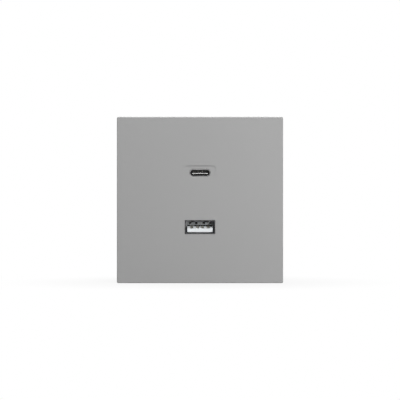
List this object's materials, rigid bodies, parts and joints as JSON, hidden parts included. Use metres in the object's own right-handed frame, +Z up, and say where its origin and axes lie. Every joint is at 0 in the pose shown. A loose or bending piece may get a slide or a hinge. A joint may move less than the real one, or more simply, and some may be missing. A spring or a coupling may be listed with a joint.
{
  "type": "usb wall socket",
  "caption": "Square grey flush-mounted wall socket with a USB-C receptacle above a USB-A receptacle, a mounting ring, a housing for a round wall box and rear push-in terminals.",
  "frame": {"origin": "centre of the wall plane, which is the rear face of the mounting ring", "axes": "+X to the right seen from the room, +Y into the wall, +Z up; the cover's face looks along -Y"},
  "size_m": [0.0706, 0.0409, 0.0706],
  "materials": {
    "cover_plastic": "satin lacquered grey",
    "wide_port_nickel": "dark nickel-plated sheet",
    "narrow_port_steel": "stainless sheet",
    "tongue_white": "white moulding",
    "tongue_black": "black moulding",
    "contact_gold": "flash gold over nickel",
    "ring_steel": "zinc-plated sheet",
    "screw_steel": "zinc-plated",
    "front_shell_plastic": "fine-grained black",
    "base_shell_plastic": "fine-grained dark grey",
    "board_laminate": "black solder mask",
    "chip_plastic": "moulded black",
    "choke_composite": "pressed grey",
    "spacer_nylon": "natural nylon",
    "header_plastic": "black",
    "pin_tin": "tinned",
    "core_ferrite": "sintered dark grey",
    "bobbin_plastic": "black",
    "winding_tape": "yellow tape",
    "can_sleeve": "dark blue sleeve",
    "film_case": "yellow case",
    "drum_sleeve": "dark sleeve",
    "fuse_ceramic": "glazed ceramic",
    "varistor_coat": "blue epoxy",
    "disc_coat": "blue epoxy",
    "terminal_plastic": "light grey",
    "busbar_copper": "tinned copper",
    "spring_steel": "stainless spring strip",
    "button_live_plastic": "orange",
    "button_neutral_plastic": "blue"
  },
  "bodies": {
    "socket": {"base_shell": "base_shell_plastic", "board_header": "header_plastic", "board_screws": "screw_steel", "board_spacers": "spacer_nylon", "bridge_rectifier": "chip_plastic", "busbar_live": "busbar_copper", "busbar_neutral": "busbar_copper", "charge_controller": "chip_plastic", "clamp_spring_live": "spring_steel", "clamp_spring_neutral": "spring_steel", "cover_plate": "cover_plastic", "front_shell": "front_shell_plastic", "fuse": "fuse_ceramic", "header_pins": "pin_tin", "input_capacitors": "can_sleeve", "line_inductor": "drum_sleeve", "optocoupler": "chip_plastic", "output_capacitor": "can_sleeve", "port_board": "board_laminate", "port_inductor": "choke_composite", "power_board": "board_laminate", "ring_screws": "screw_steel", "safety_capacitor": "disc_coat", "support_ring": "ring_steel", "suppression_capacitor": "film_case", "switch_controller": "chip_plastic", "terminal_block": "terminal_plastic", "terminal_cap": "terminal_plastic", "transformer_bobbin": "bobbin_plastic", "transformer_core": "core_ferrite", "transformer_winding": "winding_tape", "usb_a_contacts": "contact_gold", "usb_a_insulator": "tongue_white", "usb_a_shell": "wide_port_nickel", "usb_c_contacts": "contact_gold", "usb_c_shell": "narrow_port_steel", "usb_c_tongue": "tongue_black", "varistor": "varistor_coat"},
    "button_live": {"release_button_live": "button_live_plastic"},
    "button_neutral": {"release_button_neutral": "button_neutral_plastic"}
  },
  "joints": [
    {"name": "live_release", "type": "slide", "parent": "socket", "child": "button_live", "axis": [0, -1, 0], "range_m": [0, 0.0015], "stiffness_N_per_m": 500, "springref_m": -0.0004, "deforming": ["clamp_spring_live"]},
    {"name": "neutral_release", "type": "slide", "parent": "socket", "child": "button_neutral", "axis": [0, -1, 0], "range_m": [0, 0.0015], "stiffness_N_per_m": 500, "springref_m": -0.0004, "deforming": ["clamp_spring_neutral"]}
  ]
}
